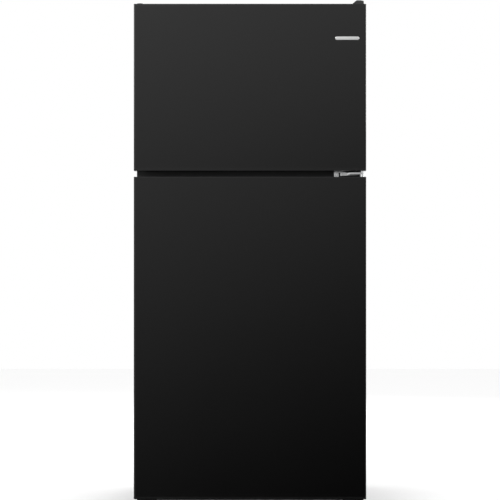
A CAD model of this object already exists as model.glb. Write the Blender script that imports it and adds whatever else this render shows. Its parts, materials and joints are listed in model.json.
# %% [markdown]
# # A top freezer refrigerator
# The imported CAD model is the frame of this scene: every panel, hinge and drawer already has its
# place and its size there. This script gives each of them the surface of the real one, and models
# again the pieces whose look comes from soft, moulded shapes. It reads nothing but that frame.

# %% Load the frame
import json
from math import atan, cos, pi, radians, sin

import bmesh
import bpy
from mathutils import Matrix, Vector


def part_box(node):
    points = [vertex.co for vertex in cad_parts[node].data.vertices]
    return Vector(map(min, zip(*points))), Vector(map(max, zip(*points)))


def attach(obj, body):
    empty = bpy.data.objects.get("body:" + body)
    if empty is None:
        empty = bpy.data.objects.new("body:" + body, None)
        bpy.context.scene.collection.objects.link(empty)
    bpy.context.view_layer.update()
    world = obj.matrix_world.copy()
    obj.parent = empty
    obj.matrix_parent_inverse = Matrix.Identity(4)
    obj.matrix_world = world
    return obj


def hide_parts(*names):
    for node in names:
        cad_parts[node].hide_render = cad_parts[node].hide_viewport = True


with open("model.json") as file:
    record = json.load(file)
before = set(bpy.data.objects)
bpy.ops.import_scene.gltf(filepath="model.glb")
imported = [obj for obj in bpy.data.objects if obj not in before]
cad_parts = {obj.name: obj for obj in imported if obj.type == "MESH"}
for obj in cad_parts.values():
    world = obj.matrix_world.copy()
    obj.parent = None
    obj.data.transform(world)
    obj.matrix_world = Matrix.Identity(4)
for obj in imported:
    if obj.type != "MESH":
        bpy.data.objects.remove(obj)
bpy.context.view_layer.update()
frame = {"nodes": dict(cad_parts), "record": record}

nodes = frame["nodes"]
mm = 0.001
body_of_node = {
    name: body
    for body, members in frame["record"]["behaviour"]["bodies"].items()
    for name in members
}
slot_of_node = {part["node"]: part["material_slot"] for part in frame["record"]["subparts"]}

# %% [markdown]
# ## Camera
# An appliance is shown from straight ahead, with the lens at the middle of its height, so that its
# upright edges stay parallel. A long lens far away does that. A short lens close by would show the
# sides and top, and a shifted lens would keep its shift in every other view.

# %% Place the camera
scene = bpy.context.scene
door_face_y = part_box("freezer_door_skin")[0][1]
camera_distance = 6.0
camera_height = 0.862
frame_width = 1.6245

lens = bpy.data.cameras.new("studio_camera")
lens.angle = 2 * atan(frame_width / 2 / camera_distance)
lens.clip_end = 60
camera = bpy.data.objects.new("studio_camera", lens)
camera.location = (0, door_face_y - camera_distance, camera_height)
camera.rotation_euler = (pi / 2, 0, 0)
scene.collection.objects.link(camera)
scene.camera = camera
scene.view_settings.view_transform = "Standard"
print("field of view in degrees", round(lens.angle * 180 / pi, 2))

# %% [markdown]
# ## Studio
# A black door shows little of its own colour: what the eye reads is the room mirrored in its satin
# coat. The room is a pale dome. Only the wall that the doors face is dark low down, and it grows
# brighter upwards and a little to the left, so the doors show one slow fade. Painting that fade on
# the doors would be wrong, because it would turn with them. The lens sees a plain white backdrop.

# %% Helpers for shader nodes
def add(kind, tree, **values):
    """A new node whose inputs or settings are given by name."""
    node = tree.nodes.new(kind)
    for key, value in values.items():
        if key in node.inputs:
            node.inputs[key].default_value = value
        else:
            setattr(node, key, value)
    return node


def wire(tree, source, target):
    tree.links.new(source, target)


def arithmetic(tree, operation, first, second):
    """A Math node whose two inputs are each a socket or a number."""
    node = add("ShaderNodeMath", tree, operation=operation)
    for index, value in enumerate((first, second)):
        if isinstance(value, (int, float)):
            node.inputs[index].default_value = value
        else:
            wire(tree, value, node.inputs[index])
    return node.outputs["Value"]


# %% The room's light
room = bpy.data.worlds.new("studio_room")
scene.world = room
room.use_nodes = True
tree = room.node_tree
tree.nodes.clear()
direction = add("ShaderNodeTexCoord", tree)


def slope(along, start, end, low, high):
    """Light that rises smoothly from low to high as the view turns towards the vector along."""
    turned = add("ShaderNodeVectorMath", tree, operation="DOT_PRODUCT")
    turned.inputs[1].default_value = along
    wire(tree, direction.outputs["Generated"], turned.inputs[0])
    fade = add("ShaderNodeMapRange", tree, interpolation_type="SMOOTHSTEP")
    for label, value in (("From Min", start), ("From Max", end), ("To Min", low), ("To Max", high)):
        fade.inputs[label].default_value = value
    wire(tree, turned.outputs["Value"], fade.inputs["Value"])
    return fade.outputs["Result"]


# A level direction is 0 and straight up is 1, so 0.3 is about 17 degrees above the horizon.
dome = slope((0, 0, 1), -0.3, 0.3, 0.3, 1.3)
dark_wall = slope((-0.5, 0, 1), -0.2, 0.3, 0.02, 1.3)
ahead = slope((0, -1, 0), 0.8, 0.95, 0.0, 1.0)
glow = add("ShaderNodeMix", tree, data_type="FLOAT")
wire(tree, ahead, glow.inputs["Factor"])
wire(tree, dome, glow.inputs["A"])
wire(tree, dark_wall, glow.inputs["B"])

lit_room = add("ShaderNodeBackground", tree)
backdrop = add("ShaderNodeBackground", tree)
backdrop.inputs["Color"].default_value = (1, 1, 1, 1)
who_looks = add("ShaderNodeLightPath", tree)
choose = add("ShaderNodeMixShader", tree)
out = add("ShaderNodeOutputWorld", tree)
wire(tree, glow.outputs["Result"], lit_room.inputs["Strength"])
wire(tree, who_looks.outputs["Is Camera Ray"], choose.inputs["Fac"])
wire(tree, lit_room.outputs["Background"], choose.inputs[1])
wire(tree, backdrop.outputs["Background"], choose.inputs[2])
wire(tree, choose.outputs["Shader"], out.inputs["Surface"])


def softbox(name, place, aim, width, height, watts):
    """A rectangular lamp at place that faces the point aim."""
    lamp = bpy.data.lights.new(name, "AREA")
    lamp.shape = "RECTANGLE"
    lamp.size, lamp.size_y = width, height
    lamp.energy = watts
    holder = bpy.data.objects.new(name, lamp)
    holder.location = place
    holder.rotation_euler = (Vector(aim) - Vector(place)).to_track_quat("-Z", "Y").to_euler()
    scene.collection.objects.link(holder)
    return holder


softbox("left_softbox", (-3.6, -1.6, 2.6), (0, 0, 0.9), 1.6, 2.2, 45)
softbox("right_softbox", (3.6, -1.0, 2.4), (0, 0, 0.9), 1.2, 2.0, 35)
softbox("rear_softbox", (0.8, 3.6, 2.4), (0, 0, 0.9), 1.8, 1.8, 45)
softbox("high_front_softbox", (-1.8, -4.6, 3.6), (0, 0, 0.8), 2.4, 1.6, 70)

# %% [markdown]
# The floor is pale and matt. It is kept out of mirror rays, as a dark cloth laid before an appliance
# does in a studio, so that its white does not climb up the black doors.

# %% Lay the pale floor
floor_mesh = bmesh.new()
bmesh.ops.create_grid(floor_mesh, x_segments=1, y_segments=1, size=7)
floor_data = bpy.data.meshes.new("studio_floor")
floor_mesh.to_mesh(floor_data)
floor_mesh.free()
studio_floor = bpy.data.objects.new("studio_floor", floor_data)
scene.collection.objects.link(studio_floor)
floor_paint = bpy.data.materials.new("studio_floor")
floor_paint.use_nodes = True
floor_paint.node_tree.nodes["Principled BSDF"].inputs["Base Color"].default_value = (0.9, 0.9, 0.9, 1)
floor_paint.node_tree.nodes["Principled BSDF"].inputs["Roughness"].default_value = 0.9
floor_data.materials.append(floor_paint)
studio_floor.visible_glossy = False

# %% [markdown]
# ## Finishes
# Most finishes of an appliance differ in two things: how fine their surface texture is, and how
# evenly they shine. Three shader groups give those, each placed in a material with its own numbers:
# grain for paint and moulded plastic, drift for colour that is never quite even, and brushing for
# drawn metal. The shader itself stays in the material, so every constant is seen on its own socket.

# %% Node group: grain
def new_group(name, inputs, outputs):
    """A shader node group with float or colour sockets, and its two end nodes."""
    group = bpy.data.node_groups.new(name, "ShaderNodeTree")
    for label, kind, value in inputs:
        socket = group.interface.new_socket(label, in_out="INPUT", socket_type=kind)
        socket.default_value = value
    for label, kind in outputs:
        group.interface.new_socket(label, in_out="OUTPUT", socket_type=kind)
    return group, group.nodes.new("NodeGroupInput"), group.nodes.new("NodeGroupOutput")


FLOAT, COLOUR = "NodeSocketFloat", "NodeSocketColor"


def noise_to_roughness(group, noise, given, result):
    """Wires a noise so that its usual span runs from the low to the high roughness."""
    spread = add("ShaderNodeMapRange", group)
    spread.inputs["From Min"].default_value = 0.3
    spread.inputs["From Max"].default_value = 0.7
    wire(group, noise.outputs["Fac"], spread.inputs["Value"])
    wire(group, given.outputs["Roughness Low"], spread.inputs["To Min"])
    wire(group, given.outputs["Roughness High"], spread.inputs["To Max"])
    wire(group, spread.outputs["Result"], result.inputs["Roughness"])


grain_group, given, result = new_group(
    "surface_grain",
    [("Grain Scale", FLOAT, 800.0), ("Smudge Scale", FLOAT, 5.0),
     ("Roughness Low", FLOAT, 0.3), ("Roughness High", FLOAT, 0.4)],
    [("Height", FLOAT), ("Roughness", FLOAT)],
)
place = add("ShaderNodeTexCoord", grain_group)
fine = add("ShaderNodeTexNoise", grain_group, Detail=3.0, Roughness=0.55)
smudge = add("ShaderNodeTexNoise", grain_group, Detail=4.0, Roughness=0.6, Distortion=0.4)
wire(grain_group, place.outputs["Object"], fine.inputs["Vector"])
wire(grain_group, place.outputs["Object"], smudge.inputs["Vector"])
wire(grain_group, given.outputs["Grain Scale"], fine.inputs["Scale"])
wire(grain_group, given.outputs["Smudge Scale"], smudge.inputs["Scale"])
wire(grain_group, fine.outputs["Fac"], result.inputs["Height"])
noise_to_roughness(grain_group, smudge, given, result)

# %% Node group: colour drift
drift_group, given, result = new_group(
    "colour_drift",
    [("Colour", COLOUR, (0.5, 0.5, 0.5, 1)), ("Other Colour", COLOUR, (0.4, 0.4, 0.4, 1)),
     ("Scale", FLOAT, 6.0)],
    [("Colour", COLOUR)],
)
place = add("ShaderNodeTexCoord", drift_group)
cloud = add("ShaderNodeTexNoise", drift_group, Detail=5.0, Roughness=0.6)
blend = add("ShaderNodeMix", drift_group, data_type="RGBA")
wire(drift_group, place.outputs["Object"], cloud.inputs["Vector"])
wire(drift_group, given.outputs["Scale"], cloud.inputs["Scale"])
wire(drift_group, cloud.outputs["Fac"], blend.inputs["Factor"])
wire(drift_group, given.outputs["Colour"], blend.inputs["A"])
wire(drift_group, given.outputs["Other Colour"], blend.inputs["B"])
wire(drift_group, blend.outputs["Result"], result.inputs["Colour"])

# %% Node group: pebble, the leathery texture that is rolled into appliance side panels
pebble_group, given, result = new_group(
    "pebble_texture", [("Scale", FLOAT, 300.0)], [("Height", FLOAT)]
)
place = add("ShaderNodeTexCoord", pebble_group)
cells = add("ShaderNodeTexVoronoi", pebble_group, feature="SMOOTH_F1", Smoothness=0.6)
wire(pebble_group, place.outputs["Object"], cells.inputs["Vector"])
wire(pebble_group, given.outputs["Scale"], cells.inputs["Scale"])
wire(pebble_group, cells.outputs["Distance"], result.inputs["Height"])

# %% Node group: brushing
brushed_group, given, result = new_group(
    "brushed_lines",
    [("Line Scale", FLOAT, 400.0), ("Roughness Low", FLOAT, 0.2), ("Roughness High", FLOAT, 0.35)],
    [("Height", FLOAT), ("Roughness", FLOAT)],
)
place = add("ShaderNodeTexCoord", brushed_group)
stretch = add("ShaderNodeMapping", brushed_group)
stretch.inputs["Scale"].default_value = (0.03, 1.0, 1.0)
lines = add("ShaderNodeTexNoise", brushed_group, Detail=2.0)
wire(brushed_group, place.outputs["Object"], stretch.inputs["Vector"])
wire(brushed_group, stretch.outputs["Vector"], lines.inputs["Vector"])
wire(brushed_group, given.outputs["Line Scale"], lines.inputs["Scale"])
wire(brushed_group, lines.outputs["Fac"], result.inputs["Height"])
noise_to_roughness(brushed_group, lines, given, result)


# %% How a finish is put together
def grey(value, warmth=0.0):
    """A near-neutral colour; warmth above zero leans to yellow, below zero to blue."""
    return (value * (1 + warmth), value, value * (1 - warmth), 1)


def finish(name, colour, other, shader, texture, depth, drift_scale=6.0, pebble=None):
    """A material: drifting colour, a texture group for height and roughness, and set constants."""
    material = bpy.data.materials.new(name)
    material.use_nodes = True
    tree = material.node_tree
    surface = tree.nodes["Principled BSDF"]
    for key, value in shader.items():
        surface.inputs[key].default_value = value
    drift = add("ShaderNodeGroup", tree, node_tree=drift_group)
    drift.inputs["Colour"].default_value = colour
    drift.inputs["Other Colour"].default_value = other
    drift.inputs["Scale"].default_value = drift_scale
    wire(tree, drift.outputs["Colour"], surface.inputs["Base Color"])
    group, settings = texture
    detail = add("ShaderNodeGroup", tree, node_tree=group)
    for key, value in settings.items():
        detail.inputs[key].default_value = value
    wire(tree, detail.outputs["Roughness"], surface.inputs["Roughness"])
    height = detail.outputs["Height"]
    if pebble:
        cells = add("ShaderNodeGroup", tree, node_tree=pebble_group)
        cells.inputs["Scale"].default_value = pebble
        height = cells.outputs["Height"]
    bump = add("ShaderNodeBump", tree, Strength=1.0, Distance=depth)
    wire(tree, height, bump.inputs["Height"])
    wire(tree, bump.outputs["Normal"], surface.inputs["Normal"])
    return material


def grain(scale, low, high, smudge=5.0):
    return grain_group, {"Grain Scale": scale, "Smudge Scale": smudge,
                         "Roughness Low": low, "Roughness High": high}


def brushing(scale, low, high):
    return brushed_group, {"Line Scale": scale, "Roughness Low": low, "Roughness High": high}


# %% The black finishes
door_enamel = finish(
    "door_enamel", grey(0.0006), grey(0.0008), {"IOR": 1.5}, grain(700, 0.11, 0.13), 0.00001)
side_enamel = finish(
    "side_enamel", grey(0.0045), grey(0.0055), {"IOR": 1.5}, grain(500, 0.38, 0.44), 0.00012,
    pebble=420)
cap_plastic = finish(
    "cap_plastic", grey(0.0016), grey(0.0022), {"IOR": 1.5}, grain(900, 0.17, 0.21), 0.00002)
moulded_black = finish(
    "moulded_black", grey(0.0060), grey(0.0080), {"IOR": 1.46}, grain(1200, 0.42, 0.52), 0.00006)
hinge_enamel = finish(
    "hinge_enamel", grey(0.010), grey(0.014), {"IOR": 1.5}, grain(600, 0.35, 0.45), 0.00004)
compressor_enamel = finish(
    "compressor_enamel", grey(0.012), grey(0.018), {"IOR": 1.5}, grain(260, 0.26, 0.38), 0.0001)
back_enamel = finish(
    "back_enamel", grey(0.035), grey(0.042), {"IOR": 1.5}, grain(400, 0.45, 0.55), 0.00008)
seal_rubber = finish(
    "seal_rubber", grey(0.020), grey(0.026), {"IOR": 1.5}, grain(1500, 0.55, 0.68), 0.00004)
mount_rubber = finish(
    "mount_rubber", grey(0.022), grey(0.03), {"IOR": 1.5}, grain(900, 0.65, 0.8), 0.00008)

# %% The white finishes
liner_plastic = finish(
    "liner_plastic", grey(0.72, 0.004), grey(0.71, 0.004), {"IOR": 1.49},
    grain(500, 0.30, 0.33), 0.00002, drift_scale=2.0)
trim_plastic = finish(
    "trim_plastic", grey(0.74), grey(0.70), {"IOR": 1.46}, grain(1100, 0.38, 0.46), 0.00004)
wire_coating = finish(
    "wire_coating", grey(0.80), grey(0.76), {"IOR": 1.5}, grain(700, 0.25, 0.32), 0.00003)
rigid_foam = finish(
    "rigid_foam", (0.74, 0.62, 0.36, 1), (0.62, 0.50, 0.27, 1), {"IOR": 1.4},
    grain(260, 0.85, 0.95), 0.0006)
roller_plastic = finish(
    "roller_plastic", grey(0.38), grey(0.33), {"IOR": 1.46}, grain(900, 0.4, 0.5), 0.00005)

# %% The metals
zinc_plate = finish(
    "zinc_plate", grey(0.94, -0.005), grey(0.86, -0.01), {"Metallic": 1.0},
    grain(420, 0.12, 0.22, smudge=60), 0.00002, drift_scale=90)
galvanized = finish(
    "galvanized", grey(0.56, -0.01), grey(0.38, -0.015), {"Metallic": 1.0},
    grain(300, 0.38, 0.55, smudge=40), 0.00005, drift_scale=55)
fin_aluminium = finish(
    "fin_aluminium", grey(0.78), grey(0.66), {"Metallic": 1.0}, brushing(350, 0.28, 0.42), 0.00005,
    drift_scale=30)
badge_chrome = finish(
    "badge_chrome", grey(0.88), grey(0.80), {"Metallic": 1.0}, brushing(900, 0.14, 0.24), 0.00002)
motor_steel = finish(
    "motor_steel", grey(0.12), grey(0.16), {"Metallic": 0.6}, grain(400, 0.4, 0.5), 0.00005)

# %% [markdown]
# Clear pieces need one thing more. A renderer treats the light that falls through glass as shadow, so
# everything under a glass shelf would turn black. Real panes let nearly all of it through. So each
# clear finish is let through by shadow and diffuse rays, while the lens still sees glass.

# %% The clear finishes
def lets_light_through(material, share):
    """Shadow and diffuse rays pass the material; share is how much of them does."""
    tree = material.node_tree
    rays = add("ShaderNodeLightPath", tree)
    soft = arithmetic(tree, "MAXIMUM", rays.outputs["Is Shadow Ray"], rays.outputs["Is Diffuse Ray"])
    held = arithmetic(tree, "SUBTRACT", 1.0, arithmetic(tree, "MULTIPLY", soft, share))
    wire(tree, held, tree.nodes["Principled BSDF"].inputs["Alpha"])
    return material


shelf_glass = lets_light_through(finish(
    "shelf_glass", (0.955, 0.985, 0.975, 1), (0.95, 0.98, 0.97, 1),
    {"IOR": 1.5, "Transmission Weight": 1.0}, grain(200, 0.0, 0.02), 0.0), 0.88)
bin_plastic = lets_light_through(finish(
    "bin_plastic", (0.965, 0.985, 0.99, 1), (0.955, 0.98, 0.985, 1),
    {"IOR": 1.45, "Transmission Weight": 1.0}, grain(300, 0.03, 0.08), 0.00002), 0.85)
crisper_plastic = lets_light_through(finish(
    "crisper_plastic", (0.96, 0.985, 0.99, 1), (0.95, 0.98, 0.985, 1),
    {"IOR": 1.45, "Transmission Weight": 1.0}, grain(700, 0.14, 0.22), 0.00006), 0.80)
lamp_glass = lets_light_through(finish(
    "lamp_glass", (0.95, 0.92, 0.84, 1), (0.93, 0.89, 0.80, 1),
    {"IOR": 1.45, "Transmission Weight": 0.5}, grain(400, 0.35, 0.45), 0.00002), 0.5)

# %% Which finish each slot and node gets
finish_of_slot = {
    "black_steel": side_enamel, "grey_steel": back_enamel, "galvanized_steel": galvanized,
    "hinge_black": hinge_enamel, "zinc_steel": zinc_plate, "black_plastic": moulded_black,
    "white_liner": liner_plastic, "white_trim": trim_plastic, "clear_bin": bin_plastic,
    "crisper_clear": crisper_plastic, "shelf_glass": shelf_glass, "bulb_glass": lamp_glass,
    "foam": rigid_foam, "gasket_rubber": seal_rubber, "mount_rubber": mount_rubber,
    "compressor_black": compressor_enamel, "coil_aluminium": fin_aluminium,
    "wire_white": wire_coating, "motor_grey": motor_steel, "fan_black": moulded_black,
    "roller_plastic": roller_plastic, "badge_metal": badge_chrome,
}
finish_of_node = {"freezer_door_caps": cap_plastic, "refrigerator_door_caps": cap_plastic,
                  "freezer_door_skin": door_enamel, "refrigerator_door_skin": door_enamel}
print("finishes", len(bpy.data.materials))


# %% [markdown]
# ## How pieces are made
# Each piece starts as a bmesh, is shaped by operators, and is then made an object that rides on the
# body of the CAD node that it stands for. Boxes with soft edges, round bars drawn along a path and
# turned shapes are all that an appliance needs, so each has one helper.

# %% From a bmesh to a piece
def as_piece(name, shape, node, material=None, angle=38):
    """Makes the bmesh an object that stands for a CAD node and rides on the node's body."""
    mesh = bpy.data.meshes.new(name)
    shape.to_mesh(mesh)
    shape.free()
    for polygon in mesh.polygons:
        polygon.use_smooth = True
    mesh.set_sharp_from_angle(angle=radians(angle))
    mesh.materials.append(material or finish_of_node.get(node) or finish_of_slot[slot_of_node[node]])
    piece = bpy.data.objects.new(name, mesh)
    scene.collection.objects.link(piece)
    flat_faces_first = piece.modifiers.new("flat_faces_first", "WEIGHTED_NORMAL")
    flat_faces_first.keep_sharp = True
    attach(piece, body_of_node[node])
    return piece


def stand_in(name, shape, node, **options):
    """As as_piece, and hides the CAD node."""
    bmesh.ops.remove_doubles(shape, verts=shape.verts, dist=0.000002)
    piece = as_piece(name, shape, node, **options)
    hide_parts(node)
    return piece


# %% Soft edges
def hard_edges(shape, degrees):
    return [edge for edge in shape.edges
            if len(edge.link_faces) == 2 and edge.calc_face_angle(0) > radians(degrees)]


def round_edges(shape, edges, radius, segments=2):
    return bmesh.ops.bevel(shape, geom=edges, offset=radius, offset_type="OFFSET",
                           segments=segments, profile=0.5, affect="EDGES", clamp_overlap=True,
                           material=-1)


# %% Cuts and drawn faces
def cut(shape, place, turn):
    """Cuts the whole shape by a plane through place, square to turn, and keeps both sides."""
    bmesh.ops.bisect_plane(shape, geom=shape.verts[:] + shape.edges[:] + shape.faces[:],
                           plane_co=place, plane_no=turn)


def cut_rows(shape, bottom, top, rows):
    for row in range(1, rows):
        cut(shape, (0, 0, bottom + (top - bottom) * row / rows), (0, 0, 1))


def points_of(geometry):
    """The points among what an operator made."""
    return [item for item in geometry if isinstance(item, bmesh.types.BMVert)]


# %% A box with soft edges
def soft_box(shape, low, high, radius=0.0, segments=2, along=None):
    """Adds a box between two corners; along names the axes whose parallel edges are rounded."""
    low, high = Vector(low), Vector(high)
    made = bmesh.ops.create_cube(shape, size=1)["verts"]
    bmesh.ops.scale(shape, vec=high - low, verts=made)
    bmesh.ops.translate(shape, vec=(low + high) / 2, verts=made)
    if radius:
        edges = {edge for vert in made for edge in vert.link_edges}
        if along:
            edges = {edge for edge in edges
                     if any(abs((edge.verts[0].co - edge.verts[1].co)["xyz".index(axis)]) > 1e-6
                            for axis in along)}
        made = [vert for vert in round_edges(shape, list(edges), radius, segments)["verts"]]
    return made


# %% A round bar along a path
def sweep(shape, path, radius, sides=10):
    """Draws a ring of edges from point to point, and closes both of its ends."""
    path = [Vector(point) for point in path]
    heads = []
    for i, here in enumerate(path):
        before = (here - path[max(i - 1, 0)]).normalized()
        after = (path[min(i + 1, len(path) - 1)] - here).normalized()
        heads.append((before + after).normalized())
    start = Matrix.Translation(path[0]) @ heads[0].to_track_quat("Z", "Y").to_matrix().to_4x4()
    ring = bmesh.ops.create_circle(shape, cap_ends=True, radius=radius, segments=sides,
                                   matrix=start)["verts"]
    edges = list({edge for vert in ring for edge in vert.link_edges})
    for i in range(1, len(path)):
        drawn = bmesh.ops.extrude_edge_only(shape, edges=edges)["geom"]
        ring = points_of(drawn)
        edges = [item for item in drawn if isinstance(item, bmesh.types.BMEdge)
                 and all(vert in ring for vert in item.verts)]
        turn = heads[i - 1].rotation_difference(heads[i]).to_matrix()
        bmesh.ops.rotate(shape, cent=path[i - 1], matrix=turn, verts=ring)
        bmesh.ops.translate(shape, vec=path[i] - path[i - 1], verts=ring)
    bmesh.ops.edgeloop_fill(shape, edges=edges)


def bend(centre, first, second, steps=6):
    """Points of a quarter turn: from centre + first to centre + second."""
    centre, first, second = Vector(centre), Vector(first), Vector(second)
    return [centre + first * cos(pi / 2 * i / steps) + second * sin(pi / 2 * i / steps)
            for i in range(steps + 1)]


# %% A turned shape
def turned(shape, outline, centre, axis="z", steps=48):
    """Spins an outline of (radius, height) points about an axis through the point centre."""
    ups = {"x": Vector((1, 0, 0)), "y": Vector((0, 1, 0)), "z": Vector((0, 0, 1))}
    out = {"x": Vector((0, 1, 0)), "y": Vector((0, 0, 1)), "z": Vector((1, 0, 0))}[axis]
    centre = Vector(centre)
    made = [shape.verts.new(centre + out * radius + ups[axis] * height)
            for radius, height in outline]
    chain = [shape.edges.new(pair) for pair in zip(made, made[1:])]
    bmesh.ops.spin(shape, geom=made + chain, cent=centre, axis=ups[axis], angle=2 * pi,
                   steps=steps, use_merge=True)


def closed(shape):
    """Merges doubles and turns every face outwards."""
    bmesh.ops.remove_doubles(shape, verts=shape.verts, dist=0.000004)
    bmesh.ops.recalc_face_normals(shape, faces=shape.faces)
    return shape


# %% [markdown]
# ## Doors
# The front of each door is one sheet of enamelled steel, folded back at both sides. A pressed sheet is
# never quite flat: the foam behind it bows it out by about a millimetre between its two ends. That
# is why its mirror image of the room changes along its height. So the sheet is cut into rows, and
# each row is set back by the square of its distance from the middle of the door.

# %% The bow of a door


door_bow_depth = 1.0 * mm


def bow(bottom, top):
    """A function of height: how far a door's face stands back there."""
    middle, half = (bottom + top) / 2, (top - bottom) / 2

    def setback(z):
        return door_bow_depth * ((z - middle) / half) ** 2
    return setback


def set_back(shape, setback):
    """Moves the front of a door's piece back by the rule, and its sides less and less."""
    for vert in shape.verts:
        share = min(max((door_face_y + 0.020 - vert.co.y) / 0.014, 0), 1)
        vert.co.y += share * setback(vert.co.z)


door_bow = {}
for door in ("freezer_door", "refrigerator_door"):
    low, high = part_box(door + "_caps")
    door_bow[door] = bow(low[2], high[2])
    print(door, "set back at its top by mm", round(door_bow[door](high[2]) / mm, 2))

# %% The steel fronts
edge_r = 5 * mm
for door in door_bow:
    node = door + "_skin"
    low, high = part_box(node)
    shape = bmesh.new()
    soft_box(shape, low, high)
    loose = [face for face in shape.faces if abs(face.normal.z) > 0.5 or face.normal.y > 0.5]
    bmesh.ops.delete(shape, geom=loose, context="FACES")
    uprights = [edge for edge in shape.edges
                if len(edge.link_faces) == 2 and abs(edge.verts[0].co.z - edge.verts[1].co.z) > 0.1]
    round_edges(shape, uprights, edge_r, 6)
    for side in (-1, 1):
        rim = [edge for edge in shape.edges if edge.is_boundary
               and all(abs(vert.co.y - high[1]) < 1e-5 and vert.co.x * side > 0 for vert in edge.verts)]
        fold = bmesh.ops.extrude_edge_only(shape, edges=rim)["geom"]
        bmesh.ops.translate(shape, vec=(-side * 9 * mm, 0, 0),
                            verts=points_of(fold))
    cut_rows(shape, low[2], high[2], 36)
    for side in (-1, 1):
        cut(shape, (side * (high[0] - edge_r - 1.5 * mm), 0, 0), (1, 0, 0))
    set_back(shape, door_bow[door])
    bmesh.ops.recalc_face_normals(shape, faces=shape.faces)
    if max(shape.faces, key=lambda face: face.calc_area()).normal.y > 0:
        bmesh.ops.reverse_faces(shape, faces=shape.faces)
    bmesh.ops.solidify(shape, geom=shape.faces[:], thickness=0.9 * mm)
    print(node, "faces", len(shape.faces), "front", round(min(v.co.y for v in shape.verts), 4))
    stand_in(node + "_sheet", shape, node)

# %% [markdown]
# ## Pieces that keep their CAD shape
# A pressed or moulded edge is never sharp: it has a small radius, and that radius catches a line of
# light, which is how the eye knows steel from paper. The CAD solids are right in shape but their
# edges are sharp. Each is copied, its loose triangles are merged and flat ones joined, and its hard
# edges are bevelled by the radius that its material would have.

# %% Copy a node and round its edges
def merged_copy(node):
    """The CAD node's shape as clean faces."""
    shape = bmesh.new()
    shape.from_mesh(nodes[node].data)
    bmesh.ops.remove_doubles(shape, verts=shape.verts, dist=0.000004)
    bmesh.ops.dissolve_limit(shape, angle_limit=radians(0.4), verts=shape.verts, edges=shape.edges)
    return shape


def rounded_copy(node, radius, segments=2, degrees=40):
    """The CAD node's shape with softened edges, in its place."""
    shape = merged_copy(node)
    if radius:
        round_edges(shape, hard_edges(shape, degrees), radius * mm, segments)
    for door, setback in door_bow.items():
        if node == door + "_caps" or (node == "name_badge" and door == "freezer_door"):
            bmesh.ops.triangulate(shape, faces=[face for face in shape.faces if len(face.verts) > 4])
            set_back(shape, setback)
    piece = as_piece(node + "_finished", shape, node)
    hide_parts(node)
    return piece


# %% The foam of the doors, set back with their fronts
for door, setback in door_bow.items():
    shape = merged_copy(door + "_foam")
    low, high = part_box(door + "_foam")
    cut_rows(shape, low[2], high[2], 16)
    bmesh.ops.triangulate(shape, faces=[face for face in shape.faces if len(face.verts) > 4])
    for vert in shape.verts:
        if vert.co.y < door_face_y + 0.02:
            vert.co.y += setback(vert.co.z) + 0.3 * mm
    stand_in(door + "_core", shape, door + "_foam")

# %% [markdown]
# ## Inner panels of the doors
# The inside of a door is one vacuum-formed sheet: a flat flange that the gasket sits on, a plug that
# reaches into the cabinet, and a dike up each side that carries the bins. A formed sheet has no sharp
# edge anywhere, so the plug and the dikes are drawn out of a plate by extrusion and all edges of the
# drawing are rounded before the sheet gets its thickness.

# %% Draw the plug and the dikes
plug_x = 303 * mm        # half the width of the plug
dike_w = 22 * mm
for door, liner in (("freezer_door", "freezer_liner"), ("refrigerator_door", "refrigerator_liner")):
    node = door + "_liner"
    low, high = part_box(node)
    room_low, room_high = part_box(liner)
    plug_z = (room_low[2] + 12.5 * mm, room_high[2] - 12.5 * mm)
    flange_y = low[1] + 2.5 * mm
    shape = bmesh.new()
    soft_box(shape, (low[0], low[1], low[2]), (high[0], flange_y, high[2]))
    bmesh.ops.delete(shape, geom=[face for face in shape.faces if face.normal.y < 0.5],
                     context="FACES")
    cuts = [((side * x, 0, 0), (1, 0, 0)) for side in (-1, 1) for x in (plug_x, plug_x - dike_w)]
    cuts += [((0, 0, z), (0, 0, 1)) for z in plug_z]
    for place, turn in cuts:
        cut(shape, place, turn)

    def drawn_out(inside, depth):
        """Pulls the faces whose middles lie inside a width towards the cabinet."""
        chosen = [face for face in shape.faces if inside(face.calc_center_median())]
        moved = bmesh.ops.extrude_face_region(shape, geom=chosen)["geom"]
        bmesh.ops.delete(shape, geom=chosen, context="FACES")
        bmesh.ops.translate(shape, vec=(0, depth, 0),
                            verts=points_of(moved))

    drawn_out(lambda c: abs(c.x) < plug_x and plug_z[0] < c.z < plug_z[1], 26 * mm)
    drawn_out(lambda c: plug_x - dike_w < abs(c.x) < plug_x and plug_z[0] < c.z < plug_z[1]
              and c.y > flange_y + 0.02, 60 * mm)
    shape.normal_update()
    bmesh.ops.dissolve_limit(shape, angle_limit=radians(1), verts=shape.verts, edges=shape.edges)
    bmesh.ops.recalc_face_normals(shape, faces=shape.faces)
    if max(shape.faces, key=lambda face: face.calc_area()).normal.y < 0:
        bmesh.ops.reverse_faces(shape, faces=shape.faces)
    round_edges(shape, hard_edges(shape, 30), 5 * mm, 4)
    bmesh.ops.solidify(shape, geom=shape.faces[:], thickness=2.2 * mm)
    print(node, "faces", len(shape.faces), "reaches", round(max(v.co.y for v in shape.verts), 4))
    stand_in(node + "_panel", shape, node)

# %% [markdown]
# ## Liners of the cabinet
# Each compartment is a tub, formed from one white sheet. It is modelled as the real tool makes it: the
# shape of the tub's inside, with round edges, which then gets the sheet's thickness on its outer side.

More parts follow.
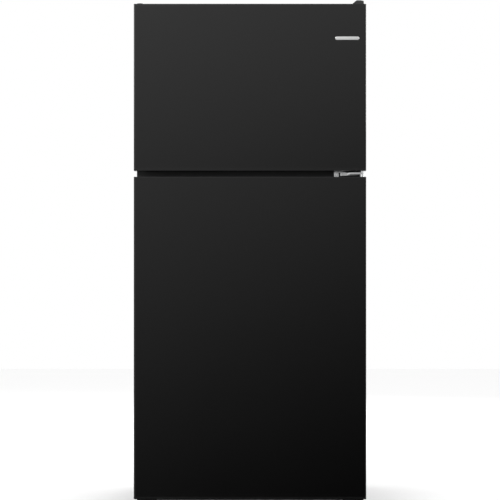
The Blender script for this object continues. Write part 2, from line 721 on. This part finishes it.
# %% The two tubs
def tub(node, side_outline):
    """A tub whose outline in the depth and height is given, open towards the doors."""
    low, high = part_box(node)
    wide = high[0] - 2.5 * mm
    shape = bmesh.new()
    made = [shape.verts.new((-wide, y, z)) for y, z in side_outline]
    side = shape.faces.new(made)
    drawn = bmesh.ops.extrude_face_region(shape, geom=[side])["geom"]
    bmesh.ops.translate(shape, vec=(2 * wide, 0, 0),
                        verts=points_of(drawn))
    bmesh.ops.recalc_face_normals(shape, faces=shape.faces)
    mouth = [face for face in shape.faces if face.normal.y < -0.9
             and abs(face.calc_center_median().y - low[1]) < 1e-4]
    bmesh.ops.delete(shape, geom=mouth, context="FACES")
    round_edges(shape, hard_edges(shape, 30), 13 * mm, 5)
    bmesh.ops.recalc_face_normals(shape, faces=shape.faces)
    if max(shape.faces, key=lambda face: face.calc_center_median().z).normal.z < 0:
        bmesh.ops.reverse_faces(shape, faces=shape.faces)
    bmesh.ops.solidify(shape, geom=shape.faces[:], thickness=-2.3 * mm)
    return shape, wide


def ledge_pair(shape, wide, z, y0, y1):
    """The two moulded rails that a shelf lies on."""
    for side in (-1, 1):
        ends = sorted((side * (wide - 9.8 * mm), side * (wide + 0.5 * mm)))
        soft_box(shape, (ends[0], y0, z - 8 * mm), (ends[1], y1, z), 2.4 * mm, 3)


low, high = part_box("freezer_liner")
back = high[1] - 2.5 * mm
shelf_low, shelf_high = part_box("freezer_shelf")
shape, wide = tub("freezer_liner", [(low[1], low[2] + 2.5 * mm), (back, low[2] + 2.5 * mm),
                                    (back, high[2] - 2.5 * mm), (low[1], high[2] - 2.5 * mm)])
ledge_pair(shape, wide, shelf_low[2], shelf_low[1] - 8 * mm, shelf_high[1] + 8 * mm)
print("freezer tub", len(shape.faces), "outer half width", round(max(v.co.x for v in shape.verts), 4))
stand_in("freezer_tub", shape, "freezer_liner")

low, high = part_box("refrigerator_liner")
back, floor, roof = high[1] - 2.5 * mm, low[2] + 2.5 * mm, high[2] - 2.5 * mm
# The step over the machinery: the face of its riser and the top of its tread.
step_y, step_z = 108.5 * mm, 330 * mm
shape, wide = tub("refrigerator_liner", [(low[1], floor), (step_y, floor), (step_y, step_z),
                                         (back, step_z), (back, roof), (low[1], roof)])
frames_low, frames_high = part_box("shelf_frames")
cover_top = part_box("crisper_cover_frame")[1][2]
shelf_levels = (cover_top - 16 * mm, frames_low[2] + 6 * mm, frames_high[2] - 16 * mm)
for level in shelf_levels:
    ledge_pair(shape, wide, level, frames_low[1] + 14 * mm,
               step_y - 12 * mm if level == shelf_levels[0] else frames_high[1])
for x in (-280, -30, 30, 280):
    soft_box(shape, (x * mm - 4 * mm, frames_low[1] + 14 * mm, floor - 0.5 * mm),
             (x * mm + 4 * mm, step_y - 14 * mm, floor + 5 * mm), 1.8 * mm, 2)
print("refrigerator tub", len(shape.faces), "shelf levels", [round(level, 4) for level in shelf_levels])
stand_in("refrigerator_tub", shape, "refrigerator_liner")

# %% [markdown]
# ## Bins and drawers
# Bins and crispers are injection moulded from clear plastic: a tray with round corners, a foot radius
# where the walls meet the floor, and a thick rim that keeps the thin walls stiff. The tray is drawn as
# a thin sheet first, cut where it has to be low, and gets its wall thickness last.

# %% A moulded tray
def tray_sheet(low, high, corner, foot):
    """The outside of a tray, open above, with round corners and a rounded foot."""
    shape = bmesh.new()
    soft_box(shape, low, high)
    bmesh.ops.delete(shape, geom=[face for face in shape.faces if face.normal.z > 0.5],
                     context="FACES")
    uprights = [edge for edge in shape.edges if len(edge.link_faces) == 2
                and abs(edge.verts[0].co.z - edge.verts[1].co.z) > 0.01]
    round_edges(shape, uprights, corner, 5)
    foot_line = [edge for edge in shape.edges if len(edge.link_faces) == 2
                 and all(abs(vert.co.z - low[2]) < 1e-6 for vert in edge.verts)]
    round_edges(shape, foot_line, foot, 3)
    return shape


def cut_away(shape, planes, unwanted):
    """Cuts the sheet along planes (place, turn) and deletes the faces that unwanted picks."""
    for place, turn in planes:
        cut(shape, place, turn)
    bmesh.ops.delete(shape, context="FACES",
                     geom=[face for face in shape.faces if unwanted(face.calc_center_median())])


def thicken(shape, wall, rim):
    """Gives a sheet its wall, inwards, and rounds what is sharp."""
    bmesh.ops.recalc_face_normals(shape, faces=shape.faces)
    bmesh.ops.solidify(shape, geom=shape.faces[:], thickness=wall)
    round_edges(shape, hard_edges(shape, 50), rim, 2)


# %% The door bins
def door_bin(node, wall=2.4 * mm):
    low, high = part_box(node)
    height = high[2] - low[2]
    front = high[1] - 1.2 * mm
    shape = tray_sheet(low, (high[0], front, high[2]), 10 * mm, 5 * mm)
    level, end = low[2] + 0.45 * height, high[0] - 14 * mm
    cut_away(shape, [((0, 0, level), (0, 0, 1)), ((end, 0, 0), (1, 0, 0)), ((-end, 0, 0), (1, 0, 0))],
             lambda c: c.y < low[1] + 1e-4 and c.z > level and abs(c.x) < end)
    thicken(shape, wall, 0.7 * mm)
    soft_box(shape, (low[0] + 9 * mm, front - 4.2 * mm, high[2] - 9 * mm),
             (high[0] - 9 * mm, high[1], high[2]), 1.9 * mm, 3)
    for share in (0.22, 0.40):
        z = low[2] + share * height
        soft_box(shape, (low[0] + 24 * mm, front - 1.5 * mm, z),
                 (high[0] - 24 * mm, high[1] - 0.1 * mm, z + 4 * mm), 1.0 * mm, 2)
    stand_in(node + "_moulding", shape, node)


for node in ("freezer_bin_upper", "freezer_bin_lower", "door_bin_upper", "door_bin_middle",
             "gallon_bin"):
    door_bin(node)
print("door bins", 5)

# %% The crisper drawers
for node in ("crisper_left", "crisper_right"):
    low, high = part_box(node)
    front = low[1] + 10 * mm
    shape = tray_sheet((low[0], front + 3 * mm, low[2]), high, 14 * mm, 9 * mm)
    thicken(shape, 2.4 * mm, 0.7 * mm)
    rim = [(low[0] + 3 * mm, front + 6 * mm), (low[0] + 3 * mm, high[1] - 3 * mm),
           (high[0] - 3 * mm, high[1] - 3 * mm), (high[0] - 3 * mm, front + 6 * mm)]
    corner = 9 * mm
    path = [Vector((*rim[0], high[2] - 2.4 * mm))]
    for here, first, second in ((rim[1], (0, -1), (1, 0)), (rim[2], (-1, 0), (0, -1))):
        middle = Vector((here[0] + corner * (first[0] + second[0]),
                         here[1] + corner * (first[1] + second[1]), path[0].z))
        path += bend(middle, Vector((*second, 0)) * -corner, Vector((*first, 0)) * -corner, 5)
    path.append(Vector((*rim[3], path[0].z)))
    sweep(shape, path, 2.3 * mm, 10)
    soft_box(shape, (low[0], front, low[2] + 1 * mm), (high[0], front + 6 * mm, high[2]), 2.6 * mm, 3)
    grip = ((low[0] + 30 * mm, low[1], high[2] - 26 * mm),
            (high[0] - 30 * mm, front + 4 * mm, high[2] - 2 * mm))
    soft_box(shape, (grip[0][0], low[1], high[2] - 7 * mm), grip[1], 1.8 * mm, 3)
    soft_box(shape, grip[0], (grip[1][0], low[1] + 3.2 * mm, high[2] - 2 * mm), 1.5 * mm, 3)
    for x in (grip[0][0], grip[1][0] - 4 * mm):
        soft_box(shape, (x, low[1], grip[0][2]), (x + 4 * mm, front + 4 * mm, high[2] - 2 * mm), 1.4 * mm, 2)
    stand_in(node + "_moulding", shape, node)
print("crispers", 2)

# %% [markdown]
# ## The freezer's wire shelf
# The shelf is a grate: close thin wires that carry the food, welded over thicker cross bars, then
# dipped in white plastic. At the front each wire turns up to a raised bar that stops packets from
# sliding out. Every wire is a ring of edges drawn along a bent path.

# %% Weld the grate
low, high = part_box("freezer_shelf")
x_end, bar_r, wire_r = high[0], 2.5 * mm, 1.75 * mm
levels = (low[2] + bar_r, high[2] - bar_r)
shape = bmesh.new()
front_bar_y, back_bar_y = low[1] + bar_r, high[1] - bar_r
for y, z in ((front_bar_y, levels[1]), ((low[1] + high[1]) / 2, levels[0]),
             (back_bar_y, levels[0]), (low[1] + 14 * mm, levels[0])):
    sweep(shape, [(-x_end, y, z), (x_end, y, z)], bar_r, 14)
wires = 24
spacing = (2 * x_end - 16 * mm) / wires
wire_z = low[2] + 2 * bar_r + 0.2 * mm
for i in range(wires + 1):
    x = -x_end + 8 * mm + i * spacing
    turn = bend((x, front_bar_y + 7 * mm, wire_z + 7 * mm), (0, 0, -7 * mm), (0, -7 * mm, 0), 5)
    sweep(shape, [(x, high[1] - 1 * mm, wire_z)] + turn + [(x, front_bar_y, levels[1])], wire_r, 8)
for x in (-x_end + bar_r, x_end - bar_r):
    sweep(shape, [(x, back_bar_y, levels[0]), (x, low[1] + 14 * mm, levels[0]),
                  (x, front_bar_y, levels[0] + 6 * mm), (x, front_bar_y, levels[1])], bar_r, 12)
print("freezer shelf", len(shape.faces), "wires", wires + 1)
stand_in("freezer_grate", closed(shape), "freezer_shelf")

# %% [markdown]
# ## Hinges at the gap and on the top
# The hinge between the doors is a stamped and plated steel leaf with a tongue that carries the pin. Its
# tongue has a drawn edge with a generous radius, which is the brightest line on the whole front. The
# cover on the top hinge is a small moulded cap that slopes down to its nose and to its inner side.

# %% The centre hinge
shape = merged_copy("center_hinge")
low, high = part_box("center_hinge")
leaf_face = high[1] - 2.5 * mm
tongue_edges = [edge for edge in hard_edges(shape, 60)
                if all(vert.co.y < leaf_face - 1 * mm for vert in edge.verts)
                and abs(edge.verts[0].co.z - edge.verts[1].co.z) < 1e-5
                and low[2] + 27 * mm < edge.verts[0].co.z < low[2] + 34 * mm]
round_edges(shape, tongue_edges, 2.0 * mm, 4)
round_edges(shape, [edge for edge in hard_edges(shape, 50)
                    if all(vert.co.y > leaf_face - 0.5 * mm for vert in edge.verts)], 0.9 * mm, 3)
print("centre hinge", len(shape.faces), "drawn edges", len(tongue_edges))
stand_in("center_hinge_stamping", shape, "center_hinge")

# %% The cover on the top hinge
low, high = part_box("top_hinge_cover")
shape = bmesh.new()
soft_box(shape, low, high)
for vert in shape.verts:
    if vert.co.z > high[2] - 1e-5:
        vert.co.x += 13 * mm if vert.co.x < low[0] + 1e-5 else -0.5 * mm
        if vert.co.y < low[1] + 1e-5:
            vert.co += Vector((0, 5 * mm, -7.5 * mm))
bmesh.ops.delete(shape, geom=[face for face in shape.faces if face.normal.z < -0.9], context="FACES")
round_edges(shape, hard_edges(shape, 10), 2.6 * mm, 4)
thicken(shape, 1.8 * mm, 0.4 * mm)
for share in (0.35, 0.65):
    level = high[2] - 0.6 * mm
    middle = low[1] + share * (high[1] - low[1])
    soft_box(shape, (low[0] + 17 * mm, middle - 1.2 * mm, level - 1 * mm),
             (high[0] - 5 * mm, middle + 1.2 * mm, level + 0.5 * mm), 0.5 * mm, 2)
print("hinge cover", len(shape.faces))
stand_in("top_hinge_cap", shape, "top_hinge_cover")

# %% [markdown]
# ## Machinery
# Round drawn and turned parts are made as they are in the workshop, by turning an outline about their
# axis. Tubes are drawn along bent paths.

# %% The compressor
low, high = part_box("compressor")
middle = ((low[0] + high[0]) / 2, low[1] + 96 * mm)
shape = bmesh.new()
shell = 76 * mm
base, weld, crown = low[2] + 6 * mm, 120.5 * mm, high[2]
outline = [(0, base), (shell * 0.72, base), (shell * 0.86, base + 3 * mm), (shell * 0.95, base + 9 * mm),
            (shell, base + 18 * mm), (shell, weld - 3.5 * mm), (shell + 4.6 * mm, weld - 3 * mm),
            (shell + 5 * mm, weld - 2 * mm), (shell + 5 * mm, weld + 2 * mm),
            (shell + 4.6 * mm, weld + 3 * mm), (shell - 0.6 * mm, weld + 3.5 * mm)]
dome_foot = crown - 34 * mm
outline.append((shell - 0.6 * mm, dome_foot))
for step in range(1, 10):
    angle = pi / 2 * step / 9
    outline.append((max((shell - 0.6 * mm) * cos(angle), 0) if step < 9 else 0,
                    dome_foot + (crown - dome_foot) * sin(angle)))
turned(shape, outline, (middle[0], middle[1], 0), steps=64)
soft_box(shape, (low[0], middle[1] - 74 * mm, low[2]), (high[0], middle[1] + 74 * mm, low[2] + 3.5 * mm),
         1.4 * mm, 2)
soft_box(shape, (middle[0] - 40 * mm, middle[1] - 40 * mm, low[2] + 2 * mm),
         (middle[0] + 40 * mm, middle[1] + 40 * mm, low[2] + 12 * mm), 3 * mm, 3)
soft_box(shape, (middle[0] - 34 * mm, low[1], 74 * mm),
         (middle[0] + 34 * mm, middle[1] - 68 * mm, 138 * mm), 5 * mm, 3)
soft_box(shape, (middle[0] - 26 * mm, low[1], 82 * mm),
         (middle[0] + 26 * mm, low[1] + 2 * mm, 130 * mm), 0.9 * mm, 2)
for x in (-44 * mm, 44 * mm):
    start = Vector((middle[0] + x, middle[1] + 60 * mm, 96 * mm))
    sweep(shape, [start, start + Vector((0, 40 * mm, 0))], 4 * mm, 14)
    sweep(shape, [start + Vector((0, 34 * mm, 0)), start + Vector((0, 43.5 * mm, 0))], 4.9 * mm, 14)
print("compressor", len(shape.faces))
stand_in("compressor_shell", closed(shape), "compressor")

# %% The twisted blades of the two fans
def fan(node, centre, radius, hub, depth, count, axis_sign):
    """A moulded fan about the Y or X axis of the given box: a domed hub and twisted blades."""
    low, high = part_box(node)
    along_x = high[0] - low[0] < high[1] - low[1]
    shape = bmesh.new()
    blade = bmesh.ops.create_grid(shape, x_segments=7, y_segments=6, size=0.5)["verts"]
    reach = radius - hub * 0.8
    bmesh.ops.scale(shape, vec=(reach, radius * 0.62, 1), verts=blade)
    bmesh.ops.translate(shape, vec=(hub * 0.8 + reach / 2, 0, 0), verts=blade)
    for vert in blade:
        share = (vert.co.x - hub * 0.8) / reach
        vert.co.y *= 0.55 + 0.62 * share - 0.25 * share ** 3
        vert.co.y += 0.16 * radius * share ** 2
        vert.co.z += 0.10 * radius * (vert.co.y / radius) ** 2 * 4
    for column in sorted({round(vert.co.x, 6) for vert in blade}):
        chosen = [vert for vert in blade if abs(vert.co.x - column) < 1e-6]
        share = (column - hub * 0.8) / reach
        bmesh.ops.rotate(shape, cent=(0, 0, 0), matrix=Matrix.Rotation(radians(38 - 20 * share), 3, "X"),
                         verts=chosen)
    bmesh.ops.solidify(shape, geom=shape.faces[:], thickness=1.5 * mm)
    tall = max(vert.co.z for vert in shape.verts) - min(vert.co.z for vert in shape.verts)
    squeeze = min(1, (depth - 1 * mm) / tall)
    for vert in shape.verts:
        vert.co.z *= squeeze
        across = (vert.co.x ** 2 + vert.co.y ** 2) ** 0.5
        if across > radius - 0.2 * mm:
            vert.co.x *= (radius - 0.2 * mm) / across
            vert.co.y *= (radius - 0.2 * mm) / across
    bmesh.ops.spin(shape, geom=shape.faces[:], cent=(0, 0, 0), axis=(0, 0, 1), angle=2 * pi,
                   steps=count, use_duplicate=True)
    bmesh.ops.remove_doubles(shape, verts=shape.verts, dist=0.000004)
    turned(shape, [(0, -depth / 2), (hub - 1.2 * mm, -depth / 2), (hub, -depth / 2 + 1.2 * mm),
                   (hub, depth / 2 - 3 * mm), (hub - 1 * mm, depth / 2 - 1.2 * mm),
                   (hub * 0.6, depth / 2 - 0.3 * mm), (0, depth / 2)], (0, 0, 0), steps=32)
    turn = Matrix.Rotation(radians(90), 4, "Y" if along_x else "X")
    if axis_sign < 0:
        turn = turn @ Matrix.Rotation(pi, 4, "X")
    bmesh.ops.transform(shape, matrix=Matrix.Translation(centre) @ turn, verts=shape.verts)
    print(node, len(shape.faces), "blades", count)
    stand_in(node + "_moulding", closed(shape), node)


for node, radius, hub, count, sign in (("condenser_fan", 58 * mm, 15 * mm, 5, -1),
                                       ("evaporator_fan", 46 * mm, 12 * mm, 4, 1)):
    low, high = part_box(node)
    middle = [(a + b) / 2 for a, b in zip(low, high)]
    depth = min(high[0] - low[0], high[1] - low[1])
    fan(node, middle, radius, hub, depth, count, sign)

# %% [markdown]
# ## The rear cover
# The cover over the machinery is a pressed sheet. Each slot is lanced: its upper lip is pushed out into
# a shallow hood that keeps dust and fingers out and lets the warm air pass. A hood is a bar whose top
# is pressed back flush with the sheet.

# %% Press the hoods
shape = merged_copy("machine_cover")
round_edges(shape, hard_edges(shape, 40), 0.3 * mm, 2)
low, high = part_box("machine_cover")
face_y = high[1]
proud = 1.85 * mm
for column in (-210, 0, 210):
    for row in range(8):
        slot = (76 + 22 * row) * mm
        made = soft_box(shape, (column * mm - 82 * mm, face_y - 0.4 * mm, slot + 2 * mm),
                        (column * mm + 82 * mm, face_y + proud, slot + 11 * mm))
        for vert in made:
            if vert.co.z > slot + 6 * mm and vert.co.y > face_y:
                vert.co.y = face_y + 0.1 * mm
            if abs(vert.co.x - column * mm) > 81 * mm and vert.co.y > face_y + 1 * mm:
                vert.co.x += 3 * mm if vert.co.x < column * mm else -3 * mm
        round_edges(shape, [edge for edge in {e for vert in made for e in vert.link_edges}
                            if all(v.co.y > face_y for v in edge.verts)], 0.5 * mm, 2)
print("rear cover hoods", 24, "faces", len(shape.faces))
stand_in("machine_cover_louvred", shape, "machine_cover")

# %% [markdown]
# ## Small parts inside
# The lamp is a small screw-in bulb that lies in the console. The knob has a pointer and the console has
# a dial of plain marks, the coldest one widest. The levelling legs are screws with a broad foot, and
# their threads are turned as a row of ridges.

# %% The lamp
low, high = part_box("light_bulb")
centre = ((low[0] + high[0]) / 2, low[1], (low[2] + high[2]) / 2)
length = high[1] - low[1]
ball = (high[0] - low[0]) / 2
outline = [(ball * sin(pi * step / 12 * 0.78), ball * (1 - cos(pi * step / 12 * 0.78)))
           for step in range(13)]
outline += [(8.2 * mm, 27 * mm), (7.6 * mm, 36 * mm), (7.8 * mm, 58 * mm)]
for ridge in range(6):
    outline += [(8.9 * mm, 60.5 * mm + ridge * 3 * mm), (8.1 * mm, 62 * mm + ridge * 3 * mm)]
outline += [(8.0 * mm, length - 3 * mm), (3 * mm, length), (0, length)]
shape = bmesh.new()
turned(shape, [(0, 0)] + outline[1:], centre, axis="y", steps=32)
print("bulb", len(shape.faces))
stand_in("bulb", closed(shape), "light_bulb")

# %% The dial and the pointer
low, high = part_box("temperature_knob")
knob_x, knob_z = (low[0] + high[0]) / 2, (low[2] + high[2]) / 2
console_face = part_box("control_housing")[0][1]
shape = bmesh.new()
for step in range(7):
    made = soft_box(shape, (-0.5 * mm - step * 0.12 * mm, -0.35 * mm, 13.2 * mm),
                    (0.5 * mm + step * 0.12 * mm, 0.2 * mm, 15.2 * mm), 0.12 * mm, 1)
    bmesh.ops.rotate(shape, cent=(0, 0, 0), verts=made,
                     matrix=Matrix.Rotation(radians(-108 + 36 * step), 3, "Y"))
bmesh.ops.translate(shape, vec=(knob_x, console_face, knob_z), verts=shape.verts)
as_piece("dial_marks", shape, "control_housing", material=motor_steel)
shape = bmesh.new()
soft_box(shape, (knob_x - 0.7 * mm, low[1] - 0.1 * mm, knob_z + 3 * mm),
         (knob_x + 0.7 * mm, low[1] + 1 * mm, high[2] - 2.2 * mm), 0.3 * mm, 2)
as_piece("knob_pointer", shape, "temperature_knob", material=motor_steel)
print("dial centre", round(knob_x, 4), round(knob_z, 4))

# %% The levelling legs
for node in ("leveling_leg_left", "leveling_leg_right"):
    low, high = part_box(node)
    centre = ((low[0] + high[0]) / 2, (low[1] + high[1]) / 2, 0)
    outline = [(0, low[2]), (13.6 * mm, low[2]), (15 * mm, low[2] + 1.4 * mm),
               (15 * mm, low[2] + 6 * mm), (13.8 * mm, low[2] + 7.8 * mm), (8 * mm, low[2] + 8 * mm),
               (4.9 * mm, low[2] + 9.4 * mm)]
    thread = low[2] + 14 * mm
    outline.append((4.9 * mm, thread))
    while thread < high[2] - 3 * mm:
        outline += [(4.35 * mm, thread + 0.6 * mm), (4.95 * mm, thread + 1.2 * mm)]
        thread += 1.2 * mm
    outline += [(4.2 * mm, high[2] - 0.6 * mm), (3.4 * mm, high[2]), (0, high[2])]
    shape = bmesh.new()
    turned(shape, outline, centre, steps=28)
    nut = bmesh.ops.create_cone(shape, cap_ends=True, segments=6, radius1=9 * mm, radius2=9 * mm,
                                depth=5 * mm, matrix=Matrix.Translation(
                                    (centre[0], centre[1], low[2] + 10.4 * mm)))["verts"]
    round_edges(shape, list({edge for vert in nut for edge in vert.link_edges}), 0.5 * mm, 2)
    print(node, len(shape.faces))
    stand_in(node + "_screw", closed(shape), node)

# %% Round the edges of the other nodes
# Each radius is in millimetres; 0 only smooths the shape.
edge_radius = {
    "left_side_panel": 0.5, "right_side_panel": 0.5, "top_panel": 0.5, "back_panel": 0.4,
    "mullion_rail": 0.4, "base_frame": 0.5, "base_grille": 0.8, "top_hinge": 0.5,
    "bottom_hinge": 0.5, "cabinet_screws": 0.25, "hinge_hole_plugs": 0.4,
    "compressor_grommets": 0.8, "condenser_fan_motor": 1.0, "drain_pan": 0.7, "evaporator_cover": 0.8,
    "evaporator_fan_motor": 0.8, "shelf_frames": 1.5, "shelf_glasses": 0.6,
    "crisper_cover_frame": 1.5, "crisper_cover_glass": 0.6, "control_housing": 0.8,
    "freezer_door_caps": 1.6, "refrigerator_door_caps": 1.6, "freezer_door_gasket": 1.0,
    "refrigerator_door_gasket": 1.0, "name_badge": 0.5, "dairy_bin": 0.8, "dairy_lid": 0.8,
    "temperature_knob": 0.8, "light_switch": 0.6, "rear_roller_left": 1.2, "rear_roller_right": 1.2,
    "condenser_coil": 0, "evaporator_coil": 0,
}
for node, radius in edge_radius.items():
    rounded_copy(node, radius)
print("rounded", len(edge_radius))

# %% The other CAD nodes keep their own mesh and get their finish
for name, node in nodes.items():
    node.data.materials.clear()
    node.data.materials.append(finish_of_node.get(name) or finish_of_slot[slot_of_node[name]])
